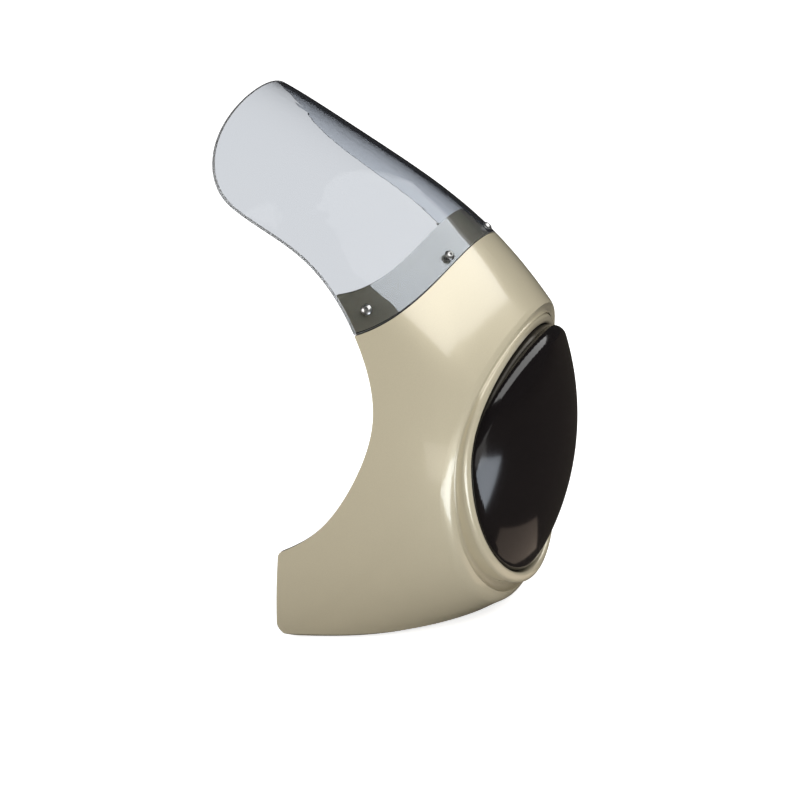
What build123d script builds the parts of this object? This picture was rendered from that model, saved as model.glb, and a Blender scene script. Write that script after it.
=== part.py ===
"""Motorbike headlight cowl: painted shell, clear windscreen and smoked lens.

X points forward along the bike, Y to its left and Z up. The origin is under the
front of the flat lower lip that the cowl stands on.
"""

import os
from math import cos, radians, sin

from build123d import *

# Form of the cowl: ellipses across the bike, from the nose to behind the screen.
# Each has its place forward, half width, height of crown and height of axis.
form = (
    (58.5, 79.5, 204.0, 114.5),
    (24.0, 102.5, 245.0, 127.0),
    (-10.5, 119.0, 281.5, 133.5),
    (-53.5, 129.0, 315.5, 128.5),
    (-113.0, 138.0, 350.0, 121.0),
    (-210.0, 156.5, 391.0, 108.0),
)
wall = 3.0
nose_round = 14.0

# Flat lower edge, turned in as a lip with a bevelled corner
base_lip = 10.0
base_lip_wall = 3.0
base_bevel = 4.5

# Open rear edge in side view, from the round end of the screen down to the wing
trailing_x = -125.0
trailing_z = 357.0
trailing_r = 52.0
trailing_end = 235.0
rear_edge = (
    (-104.0, 283.5),
    (-58.7, 234.7),
    (-41.0, 182.5),
    (-52.6, 138.3),
    (-88.0, 90.0),
    (-111.0, 76.0),
)
wing_end_x = -122.0
wing_top_r = 6.0
wing_bottom_r = 13.0

# Headlight opening, longer below its widest level, and the bead round it
lens_x = 35.4
lens_z = 141.0
lean = 1.0
opening_half_width = 91.0
opening_up = 74.5
opening_down = 110.0
bead_width = 8.0
bead_round = 3.5
bead_inner_round = 2.0
bead_depth = 19.5
nose_bend_r = 292.0

# Front face of the skin, tucked back towards the chin, and the valley round the bead
face_lean = -2.9
bead_sink = 0.5
valley_width = 8.0
valley_depth = 4.0
valley_round = 5.0
valley_foot_round = 1.8

# Smoked lens, domed more from side to side than from top to bottom
lens_wall = 3.0
lens_clearance = 0.5
lens_tip = 26.0
lens_side_r = 125.0
lens_rise_r = 220.0
lens_round = 9.0
lens_flange = 7.0
seal_wall = 1.5
seal_inset = 0.5

# Round line in side view where the screen meets the shell, and the sunk flange
parting_x = -84.0
parting_z = 317.0
parting_r = 85.0
flange_width = 27.0
flange_wall = 3.0
joggle_width = 5.0
screen_wall = 3.0
screen_bed_gap = 0.25
screen_edge_gap = 0.8

# M4 button-head screws, their washers and nuts
screw_pairs = ((-15.4, 38.3), (-54.2, 97.0))
screw_r = 2.0
screw_hole_r = 2.25
screw_length = 12.0
head_r = 3.8
head_height = 2.2
head_rim = 0.5
socket_flats = 2.5
socket_depth = 1.3
washer_r = 4.5
washer_wall = 0.8
nut_flats = 7.0
nut_height = 3.2
spot_face_r = 5.2
spot_face_depth = 0.3

# Reach of the cutting shapes beyond the cowl
front_x = 95.0
rear_x = -260.0
above_z = trailing_z + trailing_r
half_span = 220.0

os.makedirs("parts", exist_ok=True)

forward = (cos(radians(lean)), 0, sin(radians(lean)))
upward = (-sin(radians(lean)), 0, cos(radians(lean)))
backward = (-cos(radians(lean)), 0, -sin(radians(lean)))
# Planes of the leaning lens: across its axis, along its middle, and level with it
lens_middle = (lens_x, 0, lens_z)
lens_front = Plane(origin=lens_middle, x_dir=(0, 1, 0), z_dir=forward)
lens_side = Plane(origin=lens_middle, x_dir=forward, z_dir=(0, -1, 0))
lens_level = Plane(origin=lens_middle, x_dir=backward, z_dir=upward)
# Level plane of the skin's face, at the top of the opening
face_upward = (-sin(radians(face_lean)), 0, cos(radians(face_lean)))
face_backward = (-cos(radians(face_lean)), 0, -sin(radians(face_lean)))
face_level = Plane(origin=(lens_x, 0, lens_z + opening_up), x_dir=face_backward, z_dir=face_upward)
face_bend_r = nose_bend_r + bead_sink
valley_bend_r = face_bend_r - valley_depth
seal_bend_r = nose_bend_r - bead_depth
flange_bend_r = seal_bend_r - seal_wall
lens_back_r = flange_bend_r - lens_wall


def drum(bend_r, level=lens_level):
    """Upright drum whose front follows the bend of the nose."""
    with BuildPart() as body:
        with BuildSketch(level):
            with Locations((nose_bend_r, 0)):
                Circle(bend_r)
        extrude(amount=2 * half_span, both=True)
    return body.part


def rod(growth):
    """Bar along the axis of the lens, as wide as the opening grown all round."""
    with BuildPart() as body:
        with BuildSketch(lens_front):
            with BuildLine():
                half = opening_half_width + growth
                EllipticalCenterArc((0, 0), half, opening_up + growth, start_angle=0, arc_size=180)
                EllipticalCenterArc((0, 0), half, opening_down + growth, start_angle=180, arc_size=180)
            make_face()
        extrude(amount=half_span, both=True)
    return body.part


def bubble(skin):
    """Domed body of the lens with its round shoulder, drawn in by a skin."""
    top = opening_down + bead_width
    rise_r = lens_rise_r - skin
    edge = lens_tip - lens_rise_r + (rise_r**2 - top**2) ** 0.5
    middle = lens_tip - lens_side_r
    with BuildPart() as body:
        with BuildSketch(lens_side):
            with BuildLine():
                ThreePointArc((edge, -top), (lens_tip - skin, 0), (edge, top))
                Polyline((edge, top), (middle, top), (middle, -top), (edge, -top))
            make_face()
        revolve(axis=Axis(lens_side.from_local_coords((middle, 0, 0)), upward))
        add(rod(-lens_clearance - skin), mode=Mode.INTERSECT)
        add(drum(lens_back_r - lens_round), mode=Mode.SUBTRACT)
        front = body.faces().sort_by(Axis.X)[-1]
        fillet(front.edges(), lens_round - skin)
        add(drum(lens_back_r), mode=Mode.SUBTRACT)
    return body.part


def above_parting(radius):
    """Everything above and behind a round line about the parting's centre."""
    with BuildPart() as body:
        with BuildSketch(Plane.XZ):
            with BuildLine():
                CenterArc((parting_x, parting_z), radius, -90, 90)
                Polyline(
                    (parting_x + radius, parting_z),
                    (parting_x + radius, above_z),
                    (rear_x, above_z),
                    (rear_x, parting_z - radius),
                    (parting_x, parting_z - radius),
                )
            make_face()
        extrude(amount=half_span, both=True)
    return body.part


# Outer form of shell and screen
with BuildPart() as outer_form:
    for place_x, half_width, crown_z, axis_z in form:
        with BuildSketch(Plane.YZ.offset(place_x)):
            with Locations((0, axis_z)):
                Ellipse(half_width, crown_z - axis_z)
    loft()


def drawn_in(depth):
    """The outer form moved in by a depth all round."""
    with BuildPart() as body:
        add(outer_form.part)
        offset(amount=-depth, mode=Mode.REPLACE)
    return body.part


flange_depth = screen_wall + screen_bed_gap
screen_bore = drawn_in(screen_wall)
flange_form = drawn_in(flange_depth)
flange_bore = drawn_in(flange_depth + flange_wall)
lip_bore = drawn_in(base_lip)

# Outer skin: the nose ends in a round-edged face, the base in a bevel
with BuildPart() as skin_form:
    add(outer_form.part)
    add(drum(face_bend_r, face_level), mode=Mode.INTERSECT)
    face = skin_form.faces().filter_by(GeomType.CYLINDER).sort_by(SortBy.AREA)[-1]
    fillet(face.edges(), nose_round)
    split(bisect_by=Plane.XY, keep=Keep.TOP)
    base = skin_form.faces().filter_by(GeomType.PLANE).sort_by(Axis.Z)[0]
    chamfer(base.edges().sort_by(Axis.X)[1:], base_bevel)

with BuildPart() as shell_bore:
    add(drawn_in(wall))
    add(drum(valley_bend_r - wall, face_level), mode=Mode.INTERSECT)
    face = shell_bore.faces().filter_by(GeomType.CYLINDER).sort_by(SortBy.AREA)[-1]
    fillet(face.edges(), nose_round - wall)

# Side view of the whole cowl, drawn across its width
with BuildPart() as side_view:
    with BuildSketch(Plane.XZ):
        with BuildLine():
            trailing = CenterArc((trailing_x, trailing_z), trailing_r, 90, trailing_end - 90)
            Spline(trailing @ 1, *rear_edge, tangents=(trailing % 1, (-1, -0.5)))
            Polyline(
                rear_edge[-1],
                (wing_end_x, 0),
                (front_x, 0),
                (front_x, above_z),
                (trailing_x, above_z),
            )
        make_face()
    extrude(amount=half_span, both=True)
    across = side_view.edges().filter_by(Axis.Y)
    fillet(across.sort_by_distance((rear_edge[-1][0], 0, rear_edge[-1][1]))[0], wing_top_r)
    across = side_view.edges().filter_by(Axis.Y)
    fillet(across.sort_by_distance((wing_end_x, 0, 0))[0], wing_bottom_r)

# Screw places on the outer form, square to it
skin = outer_form.faces().sort_by(SortBy.AREA)[-1]
screw_planes = []
for back_x, half_spacing in screw_pairs:
    for side_y in (-half_spacing, half_spacing):
        line = Axis((back_x, side_y, above_z), (0, 0, -1))
        hits = sorted(skin.find_intersection_points(line), key=lambda hit: hit[0].Z)
        screw_planes.append(Plane(origin=hits[-1][0], z_dir=hits[-1][1]))

# Bead round the headlight opening
with BuildPart() as bead:
    add(rod(bead_width))
    add(rod(0), mode=Mode.SUBTRACT)
    add(drum(nose_bend_r), mode=Mode.INTERSECT)
    add(drum(seal_bend_r), mode=Mode.SUBTRACT)
    front = bead.faces().filter_by(GeomType.CYLINDER).sort_by(Axis.X)[-1]
    fillet(front.outer_wire().edges(), bead_round)
    front = bead.faces().filter_by(GeomType.CYLINDER).sort_by(Axis.X)[-1]
    fillet(front.inner_wires()[0].edges(), bead_inner_round)

# Cut of the valley outside the bead
with BuildPart() as valley:
    add(rod(bead_width + valley_width))
    add(rod(bead_width), mode=Mode.SUBTRACT)
    add(drum(valley_bend_r, face_level), mode=Mode.SUBTRACT)
    floor = valley.faces().filter_by(GeomType.CYLINDER).sort_by(SortBy.AREA)[-1]
    fillet(floor.outer_wire().edges(), valley_round)
    floor = valley.faces().filter_by(GeomType.CYLINDER).sort_by(SortBy.AREA)[-1]
    fillet(floor.inner_wires()[0].edges(), valley_foot_round)

# Painted shell with its bead, sunk screen flange and turned-in lower lip
with BuildPart() as lip:
    add(skin_form.part)
    add(lip_bore, mode=Mode.SUBTRACT)
    Box(
        4 * half_span,
        2 * half_span,
        base_lip_wall,
        align=(Align.CENTER, Align.CENTER, Align.MIN),
        mode=Mode.INTERSECT,
    )

with BuildPart() as flange:
    add(flange_form)
    add(flange_bore, mode=Mode.SUBTRACT)
    add(above_parting(parting_r + joggle_width), mode=Mode.INTERSECT)
    add(above_parting(parting_r - flange_width), mode=Mode.SUBTRACT)

with BuildPart() as joggle:
    add(outer_form.part)
    add(flange_bore, mode=Mode.SUBTRACT)
    add(above_parting(parting_r + joggle_width), mode=Mode.INTERSECT)
    add(above_parting(parting_r), mode=Mode.SUBTRACT)

with BuildPart() as cowl_shell:
    add(skin_form.part)
    add(shell_bore.part, mode=Mode.SUBTRACT)
    add(above_parting(parting_r), mode=Mode.SUBTRACT)
    add(lip.part)
    add(joggle.part)
    add(flange.part)
    add(side_view.part, mode=Mode.INTERSECT)
    add(valley.part, mode=Mode.SUBTRACT)
    add(rod(bead_width), mode=Mode.SUBTRACT)
    add(bead.part)
    with Locations(*screw_planes):
        Cylinder(screw_hole_r, 4 * screw_length, mode=Mode.SUBTRACT)
        with Locations((0, 0, -flange_depth - flange_wall + spot_face_depth)):
            Cylinder(
                spot_face_r,
                flange_wall,
                align=(Align.CENTER, Align.CENTER, Align.MAX),
                mode=Mode.SUBTRACT,
            )
cowl_shell.part.label = "cowl_shell"
export_step(cowl_shell.part, "parts/cowl_shell.step")

# Clear windscreen, laid on the flange
with BuildPart() as windscreen:
    add(outer_form.part)
    add(screen_bore, mode=Mode.SUBTRACT)
    add(above_parting(parting_r - screen_edge_gap), mode=Mode.INTERSECT)
    add(side_view.part, mode=Mode.INTERSECT)
    with Locations(*screw_planes):
        Cylinder(screw_hole_r, 4 * screw_length, mode=Mode.SUBTRACT)
windscreen.part.label = "windscreen"
export_step(windscreen.part, "parts/windscreen.step")

# Smoked lens with a seating flange behind the bead
with BuildPart() as lens_cover:
    add(bubble(0))
    add(bubble(lens_wall), mode=Mode.SUBTRACT)
    with BuildPart():
        add(rod(lens_flange))
        add(rod(-lens_clearance - lens_wall), mode=Mode.SUBTRACT)
        add(drum(flange_bend_r), mode=Mode.INTERSECT)
        add(drum(lens_back_r), mode=Mode.SUBTRACT)
lens_cover.part.label = "lens_cover"
export_step(lens_cover.part, "parts/lens_cover.step")

# Foam seal between the lens flange and the back of the bead
with BuildPart() as lens_seal:
    add(rod(lens_flange))
    add(rod(seal_inset), mode=Mode.SUBTRACT)
    add(drum(seal_bend_r), mode=Mode.INTERSECT)
    add(drum(flange_bend_r), mode=Mode.SUBTRACT)
lens_seal.part.label = "lens_seal"
export_step(lens_seal.part, "parts/lens_seal.step")

# Screws through screen and flange, with a washer and a nut inside
with BuildPart() as screw:
    with BuildSketch(Plane.XZ):
        with BuildLine():
            Polyline((0, -screw_length), (screw_r, -screw_length), (screw_r, 0), (head_r, 0), (head_r, head_rim))
            ThreePointArc(
                (head_r, head_rim),
                (head_r * 0.72, head_rim + (head_height - head_rim) * 0.68),
                (socket_flats * 0.62, head_height),
            )
            Polyline((socket_flats * 0.62, head_height), (0, head_height), (0, -screw_length))
        make_face()
    revolve(axis=Axis.Z)
    with BuildSketch(Plane.XY.offset(head_height)):
        RegularPolygon(socket_flats / 2, 6, major_radius=False)
    extrude(amount=-socket_depth, mode=Mode.SUBTRACT)

washer_top = -flange_depth - flange_wall + spot_face_depth
with BuildPart() as washer:
    with BuildSketch(Plane.XY.offset(washer_top)):
        Circle(washer_r)
        Circle(screw_hole_r, mode=Mode.SUBTRACT)
    extrude(amount=-washer_wall)

nut_top = washer_top - washer_wall
with BuildPart() as nut:
    with BuildSketch(Plane.XY.offset(nut_top)):
        RegularPolygon(nut_flats / 2, 6, major_radius=False)
        Circle(screw_r, mode=Mode.SUBTRACT)
    extrude(amount=-nut_height)

with BuildPart() as screen_screws:
    with Locations(*screw_planes):
        add(screw.part)
screen_screws.part.label = "screen_screws"
export_step(screen_screws.part, "parts/screen_screws.step")

with BuildPart() as screen_washers:
    with Locations(*screw_planes):
        add(washer.part)
screen_washers.part.label = "screen_washers"
export_step(screen_washers.part, "parts/screen_washers.step")

with BuildPart() as screen_nuts:
    with Locations(*screw_planes):
        add(nut.part)
screen_nuts.part.label = "screen_nuts"
export_step(screen_nuts.part, "parts/screen_nuts.step")
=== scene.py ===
"""Motorbike headlight cowl in a plain studio: painted shell, clear screen, smoked lens."""

import math

import bpy
import numpy as np
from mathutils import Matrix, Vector
from mathutils.bvhtree import BVHTree

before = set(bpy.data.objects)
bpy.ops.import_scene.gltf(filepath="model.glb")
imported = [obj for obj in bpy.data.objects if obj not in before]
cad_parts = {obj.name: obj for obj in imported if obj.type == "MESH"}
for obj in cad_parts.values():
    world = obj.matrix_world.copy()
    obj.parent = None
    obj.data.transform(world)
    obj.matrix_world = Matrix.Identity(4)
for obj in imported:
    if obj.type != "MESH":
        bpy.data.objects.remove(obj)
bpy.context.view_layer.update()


# Cowl shell
# One moulding, sprayed outside in a champagne metallic under clear lacquer. The flange below the
# screen keeps a glossy olive base coat, and the inside and the sawn rear edge show grey laminate.

class Mark:
    """A value inside a finish. Sums on it add Math nodes to the finish."""

    def __init__(self, tree, socket=None):
        self.tree = tree
        self.socket = socket

    def set(self, node, name, value):
        if isinstance(value, Mark):
            self.tree.links.new(value.socket, node.inputs[name])
        else:
            node.inputs[name].default_value = value

    def node(self, kind, output=0, settings=None, **values):
        """A new node's output. A socket that has no name of its own is given as _ and its number."""
        made = self.tree.nodes.new("ShaderNode" + kind)
        for name, value in (settings or {}).items():
            setattr(made, name, value)
        for name, value in values.items():
            self.set(made, int(name[1:]) if name[0] == "_" else name.replace("_", " "), value)
        return Mark(self.tree, made.outputs[output])

    def sum(self, operation, other):
        return self.node("Math", settings={"operation": operation}, _0=self, _1=other)

    def __add__(self, other):
        return self.sum("ADD", other)

    def __mul__(self, other):
        return self.sum("MULTIPLY", other)

    def __sub__(self, other):
        return self.sum("SUBTRACT", other)

    def __rsub__(self, other):
        return self.node("Math", settings={"operation": "SUBTRACT"}, _0=other, _1=self)

    def __pow__(self, other):
        return self.sum("POWER", other)

    __radd__ = __add__
    __rmul__ = __mul__

    def shade(self, dark, light):
        """A colour between two, by this value."""
        return self.node("Mix", output=2, settings={"data_type": "RGBA"}, _0=self, _6=dark, _7=light)


def finish(name, **sockets):
    """A new material with its shader's even values set. Returns it, its shader and a place on it."""
    made = bpy.data.materials.new(name)
    made.use_nodes = True
    shader = made.node_tree.nodes["Principled BSDF"]
    for socket, value in sockets.items():
        shader.inputs[socket.replace("_", " ")].default_value = value
    return made, shader, Mark(made.node_tree).node("TexCoord", output="Object")


def dress(name, *finishes):
    """A CAD piece, given its finishes in the order that its faces count them."""
    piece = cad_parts[name]
    piece.data.materials.clear()
    for made in finishes:
        piece.data.materials.append(made)
    return piece


champagne, coat, place = finish(
    "champagne_metallic", Metallic=0.25, Coat_Weight=1.0, Coat_Roughness=0.1, Coat_IOR=1.7, IOR=1.45
)
flake = place.node("TexNoise", Vector=place, Scale=1500.0, Detail=1.0)
cloud = place.node("TexNoise", Vector=place, Scale=11.0, Detail=2.0)
tone = 0.3 + 0.35 * flake + 0.2 * cloud
place.set(coat, "Base Color", tone.shade((0.50, 0.445, 0.315, 1), (0.67, 0.60, 0.435, 1)))
place.set(coat, "Roughness", 0.26 + 0.12 * flake)
peel = place.node("TexNoise", Vector=place, Scale=260.0, Detail=1.0)
place.set(coat, "Normal", place.node("Bump", Strength=0.035, Distance=0.0006, Height=peel))

# Skin and screen part along an arc in side view, and the groove between them is painted shade: a
# near-black band with no clear coat.
parting_x = -0.084
parting_z = 0.317
parting_r = 0.085
groove_shade_width = 0.0013

base_coat, coat, place = finish("flange_base_coat", Coat_Roughness=0.02, Coat_IOR=2.6)
along = place.node("SeparateXYZ", output="X", Vector=place) - parting_x
up = place.node("SeparateXYZ", output="Z", Vector=place) - parting_z
groove_shade = ((along * along + up * up) ** 0.5).sum("GREATER_THAN", parting_r - groove_shade_width)
dust = place.node("TexNoise", Vector=place, Scale=240.0, Detail=3.0)
olive = dust.shade((0.40, 0.355, 0.255, 1), (0.47, 0.425, 0.315, 1))
# Painted shade: a near-black band along the groove, with the coat weight taken off there.
place.set(coat, "Base Color", groove_shade.shade(olive, (0.022, 0.012, 0.008, 1)))
place.set(coat, "Coat Weight", 1.0 - groove_shade)
place.set(coat, "Roughness", 0.30 + 0.05 * dust)

laminate, coat, place = finish("grey_laminate")
strand = place.node("TexVoronoi", settings={"feature": "DISTANCE_TO_EDGE"}, Vector=place, Scale=170.0)
resin = place.node("TexNoise", Vector=place, Scale=55.0, Detail=4.0)
place.set(coat, "Base Color", resin.shade((0.045, 0.044, 0.042, 1), (0.12, 0.115, 0.105, 1)))
place.set(coat, "Roughness", 0.45 + 0.3 * resin)
place.set(coat, "Normal", place.node("Bump", Strength=0.5, Distance=0.0008, Height=strand + 0.6 * resin))

# The skin's ellipses across the bike, from the back
stations = np.array([-0.210, -0.113, -0.0535, -0.0105, 0.024, 0.0585])
half_widths = np.array([0.1565, 0.138, 0.129, 0.119, 0.1025, 0.0795])
crowns = np.array([0.391, 0.350, 0.3155, 0.2815, 0.245, 0.204])
axes = np.array([0.108, 0.121, 0.1285, 0.1335, 0.127, 0.1145])


def skin_at(x):
    """Half width, height of axis and rise above it of the skin at a place along the bike."""
    axis = np.interp(x, stations, axes)
    return np.interp(x, stations, half_widths), axis, np.interp(x, stations, crowns) - axis


walls = []
for name in ("cowl_shell", "lens_cover", "windscreen"):
    wall_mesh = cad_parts[name].data
    corners = [corner.co for corner in wall_mesh.vertices]
    walls.append(BVHTree.FromPolygons(corners, [list(face.vertices) for face in wall_mesh.polygons]))
spray_start = 0.0004
ahead = Vector((1, 0, 0))


def reached_by_spray(face, sideways):
    """Whether paint sprayed from the front or from round about reaches a face."""
    start = face.center + spray_start * face.normal
    for way in (sideways, ahead, (sideways + ahead).normalized()):
        if all(wall.ray_cast(start, way)[0] is None for wall in walls):
            return True
    return False


# Places on the shell, then limits on how far a face's normal leans out of the skin, sideways or back
flange_end = -0.154
flange_slack = 0.0005
nose_back = -0.01
lip_top = 0.012
turned_in = -0.15
edge_on = 0.6
side_lean = 0.08
back_lean = -0.6
painted, coated, bare = range(3)
shell = dress("cowl_shell", champagne, base_coat, laminate)
for face in shell.data.polygons:
    x, y, z = face.center
    wide, axis, tall = skin_at(x)
    facing = face.normal.dot(Vector((0, y / wide**2, (z - axis) / tall**2)).normalized())
    from_arc = math.hypot(x - parting_x, z - parting_z)
    under_screen = from_arc < parting_r + flange_slack and x > flange_end
    cut_across = abs(face.normal.y) < side_lean and abs(facing) < edge_on
    sawn_edge = face.normal.x < back_lean or (cut_across and x < nose_back and z > lip_top)
    if under_screen and facing > turned_in:
        face.material_index = coated
    elif under_screen or sawn_edge:
        face.material_index = bare
    else:
        reached = reached_by_spray(face, Vector((0, y, z - axis)).normalized())
        face.material_index = painted if reached else bare


# Windscreen
# One sheet of clear acrylic, heated, drawn over a former and sawn to shape. Its faces are polished
# and its cut edge is left frosted, so that the edge catches the light as a pale line.

acrylic, clear, place = finish("clear_acrylic", IOR=1.18, Transmission_Weight=1.0)
smear = place.node("TexNoise", Vector=place, Scale=26.0, Detail=3.0)
place.set(clear, "Base Color", smear.shade((0.828, 0.868, 0.925, 1), (0.846, 0.882, 0.932, 1)))
place.set(clear, "Roughness", 0.004 + 0.016 * smear)
smoke = place.node("BsdfPrincipled", Base_Color=(0.035, 0.038, 0.05, 1), Roughness=0.08)
slant = place.node("LayerWeight", output="Facing", Blend=0.5)
polish = Mark(place.tree, clear.outputs[0])
tinted = place.node("MixShader", _0=0.55 * slant**3.0, _1=polish, _2=smoke)
place.set(place.tree.nodes["Material Output"], "Surface", tinted)

sawn, clear, place = finish("sawn_acrylic_edge", IOR=1.3, Transmission_Weight=0.75)
saw = place.node("TexNoise", Vector=place, Scale=900.0, Detail=2.0)
place.set(clear, "Base Color", saw.shade((0.74, 0.71, 0.66, 1), (0.95, 0.93, 0.90, 1)))
place.set(clear, "Roughness", 0.32 + 0.25 * saw)

step = 0.004
flat_on = 0.7
polished, frosted = range(2)
screen = dress("windscreen", acrylic, sawn)
for face in screen.data.polygons:
    x, y, z = face.center
    wide, axis, tall = skin_at(x)
    next_wide, next_axis, next_tall = skin_at(x + step)
    widening = (next_wide - wide) / step
    rising = (next_axis + next_tall - axis - tall) / step
    slope = -(y * y * widening / wide**3 + (z - axis) ** 2 * rising / tall**3)
    out = Vector((slope, y / wide**2, (z - axis) / tall**2)).normalized()
    face.material_index = polished if abs(face.normal.dot(out)) > flat_on else frosted


# Smoked lens
# A dome of dark polycarbonate, vacuum formed and polished. It is nearly black in front of an
# unlit lamp and mirrors the lights round it.

smoked, gloss, place = finish(
    "smoked_polycarbonate", Roughness=0.13, IOR=1.58, Coat_Weight=0.2, Coat_Roughness=0.05
)
depth = place.node("TexNoise", Vector=place, Scale=9.0, Detail=2.0)
place.set(gloss, "Base Color", depth.shade((0.0035, 0.003, 0.0032, 1), (0.0085, 0.0065, 0.0065, 1)))
ripple = place.node("TexNoise", Vector=place, Scale=22.0, Detail=1.0)
place.set(gloss, "Normal", place.node("Bump", Strength=0.012, Distance=0.002, Height=ripple))
lens = dress("lens_cover", smoked)


# Lens seal
# A ring of closed-cell foam, stamped from sheet and stuck to the lens flange. It is squeezed
# between the flange and the back of the bead.

foam, cells, place = finish("closed_cell_foam")
pore = place.node("TexVoronoi", Vector=place, Scale=1400.0)
place.set(cells, "Base Color", pore.shade((0.008, 0.008, 0.008, 1), (0.028, 0.028, 0.027, 1)))
place.set(cells, "Roughness", 0.75 + 0.2 * pore)
place.set(cells, "Normal", place.node("Bump", Strength=0.6, Distance=0.0004, Height=pore))
seal = dress("lens_seal", foam)


# Screws, washers and nuts
# Turned stainless steel. The screws go through the screen and the flange and take a washer and
# a nut inside, and their button heads keep fine turning marks.

steel, metal, place = finish("turned_stainless", Metallic=1.0)
turning = place.node("TexNoise", Vector=place, Scale=2600.0, Detail=2.0)
place.set(metal, "Base Color", turning.shade((0.62, 0.62, 0.61, 1), (0.84, 0.84, 0.82, 1)))
place.set(metal, "Roughness", 0.27 + 0.16 * turning)
place.set(metal, "Normal", place.node("Bump", Strength=0.12, Distance=0.0001, Height=turning))
for name in ("screen_screws", "screen_washers", "screen_nuts"):
    fixing = dress(name, steel)


# Studio
# A plain pale floor with a long softbox overhead, a fill to the side, and a low strip and two low
# cards in front. Floor and air look white to the camera, straight or through the screen, and dark
# in reflections.

reach = 6.0
floor_mesh = bpy.data.meshes.new("floor")
floor_mesh.from_pydata(
    [(-reach, -reach, 0), (reach, -reach, 0), (reach, reach, 0), (-reach, reach, 0)], [], [(0, 1, 2, 3)]
)
floor = bpy.data.objects.new("floor", floor_mesh)
bpy.context.scene.collection.objects.link(floor)


def seen_straight(place):
    """1 where light goes straight to the camera or only through the screen."""
    mirrored = place.node("LightPath", output="Glossy Depth")
    scattered = place.node("LightPath", output="Diffuse Depth")
    return (mirrored + scattered).sum("LESS_THAN", 0.5)


paper, matt, place = finish("pale_floor", Roughness=0.9, Specular_IOR_Level=0.0, Emission_Strength=1.0)
in_mirror = place.node("LightPath", output="Is Glossy Ray")
place.set(matt, "Base Color", in_mirror.shade((0.78, 0.78, 0.78, 1), (0.035, 0.03, 0.025, 1)))
place.set(matt, "Emission Color", seen_straight(place).shade((0, 0, 0, 1), (0.75, 0.75, 0.75, 1)))
floor_mesh.materials.append(paper)

world = bpy.data.worlds.new("studio")
bpy.context.scene.world = world
world.use_nodes = True
air = world.node_tree.nodes["Background"]
air.inputs["Color"].default_value = (0.985, 0.99, 1.0, 1)
around = Mark(world.node_tree)
soft_light = around.node("LightPath", output="Is Diffuse Ray")
around.set(air, "Strength", 0.02 + seen_straight(around) + 0.5 * soft_light)


def aim(thing, at, towards):
    """Place a lamp or the camera and turn it towards a point."""
    thing.location = at
    thing.rotation_euler = (Vector(towards) - Vector(at)).to_track_quat("-Z", "Y").to_euler()
    bpy.context.scene.collection.objects.link(thing)


def softbox(name, at, towards, width, height, watts, colour):
    lamp = bpy.data.lights.new(name, "AREA")
    lamp.shape = "RECTANGLE"
    lamp.size = width
    lamp.size_y = height
    lamp.energy = watts
    lamp.color = colour
    made = bpy.data.objects.new(name, lamp)
    made.visible_camera = False
    aim(made, at, towards)


softbox("overhead_softbox", (0.92, 0.55, 1.5), (0.92, 0.551, 0), 1.4, 3.1, 31, (1.0, 1.0, 0.99))
softbox("low_strip", (0.31, -0.36, 0.06), (0.02, -0.06, 0.13), 0.42, 0.2, 0.17, (1.0, 0.98, 0.95))
softbox("low_card", (0.30, -0.23, 0.012), (0.30, -0.229, 1), 0.30, 0.24, 0.75, (0.82, 0.90, 1.0))
softbox("brown_card", (0.089, -0.006, 0.004), (0.089, -0.005, 1), 0.065, 0.10, 0.0075, (1.0, 0.80, 0.64))
softbox("side_fill", (-1.3, -1.5, 0.7), (-0.03, 0, 0.16), 1.2, 1.0, 16, (1.0, 0.975, 0.94))

view = bpy.data.cameras.new("view")
view.lens = 98.9
view.sensor_width = 36.0
view.shift_x = -0.1474
view.shift_y = 0.0546
camera = bpy.data.objects.new("view", view)
aim(camera, (0.5223, -1.4133, 0.7321), (0.0218, 0, 0.1264))
bpy.context.scene.camera = camera
bpy.context.scene.view_settings.view_transform = "Standard"
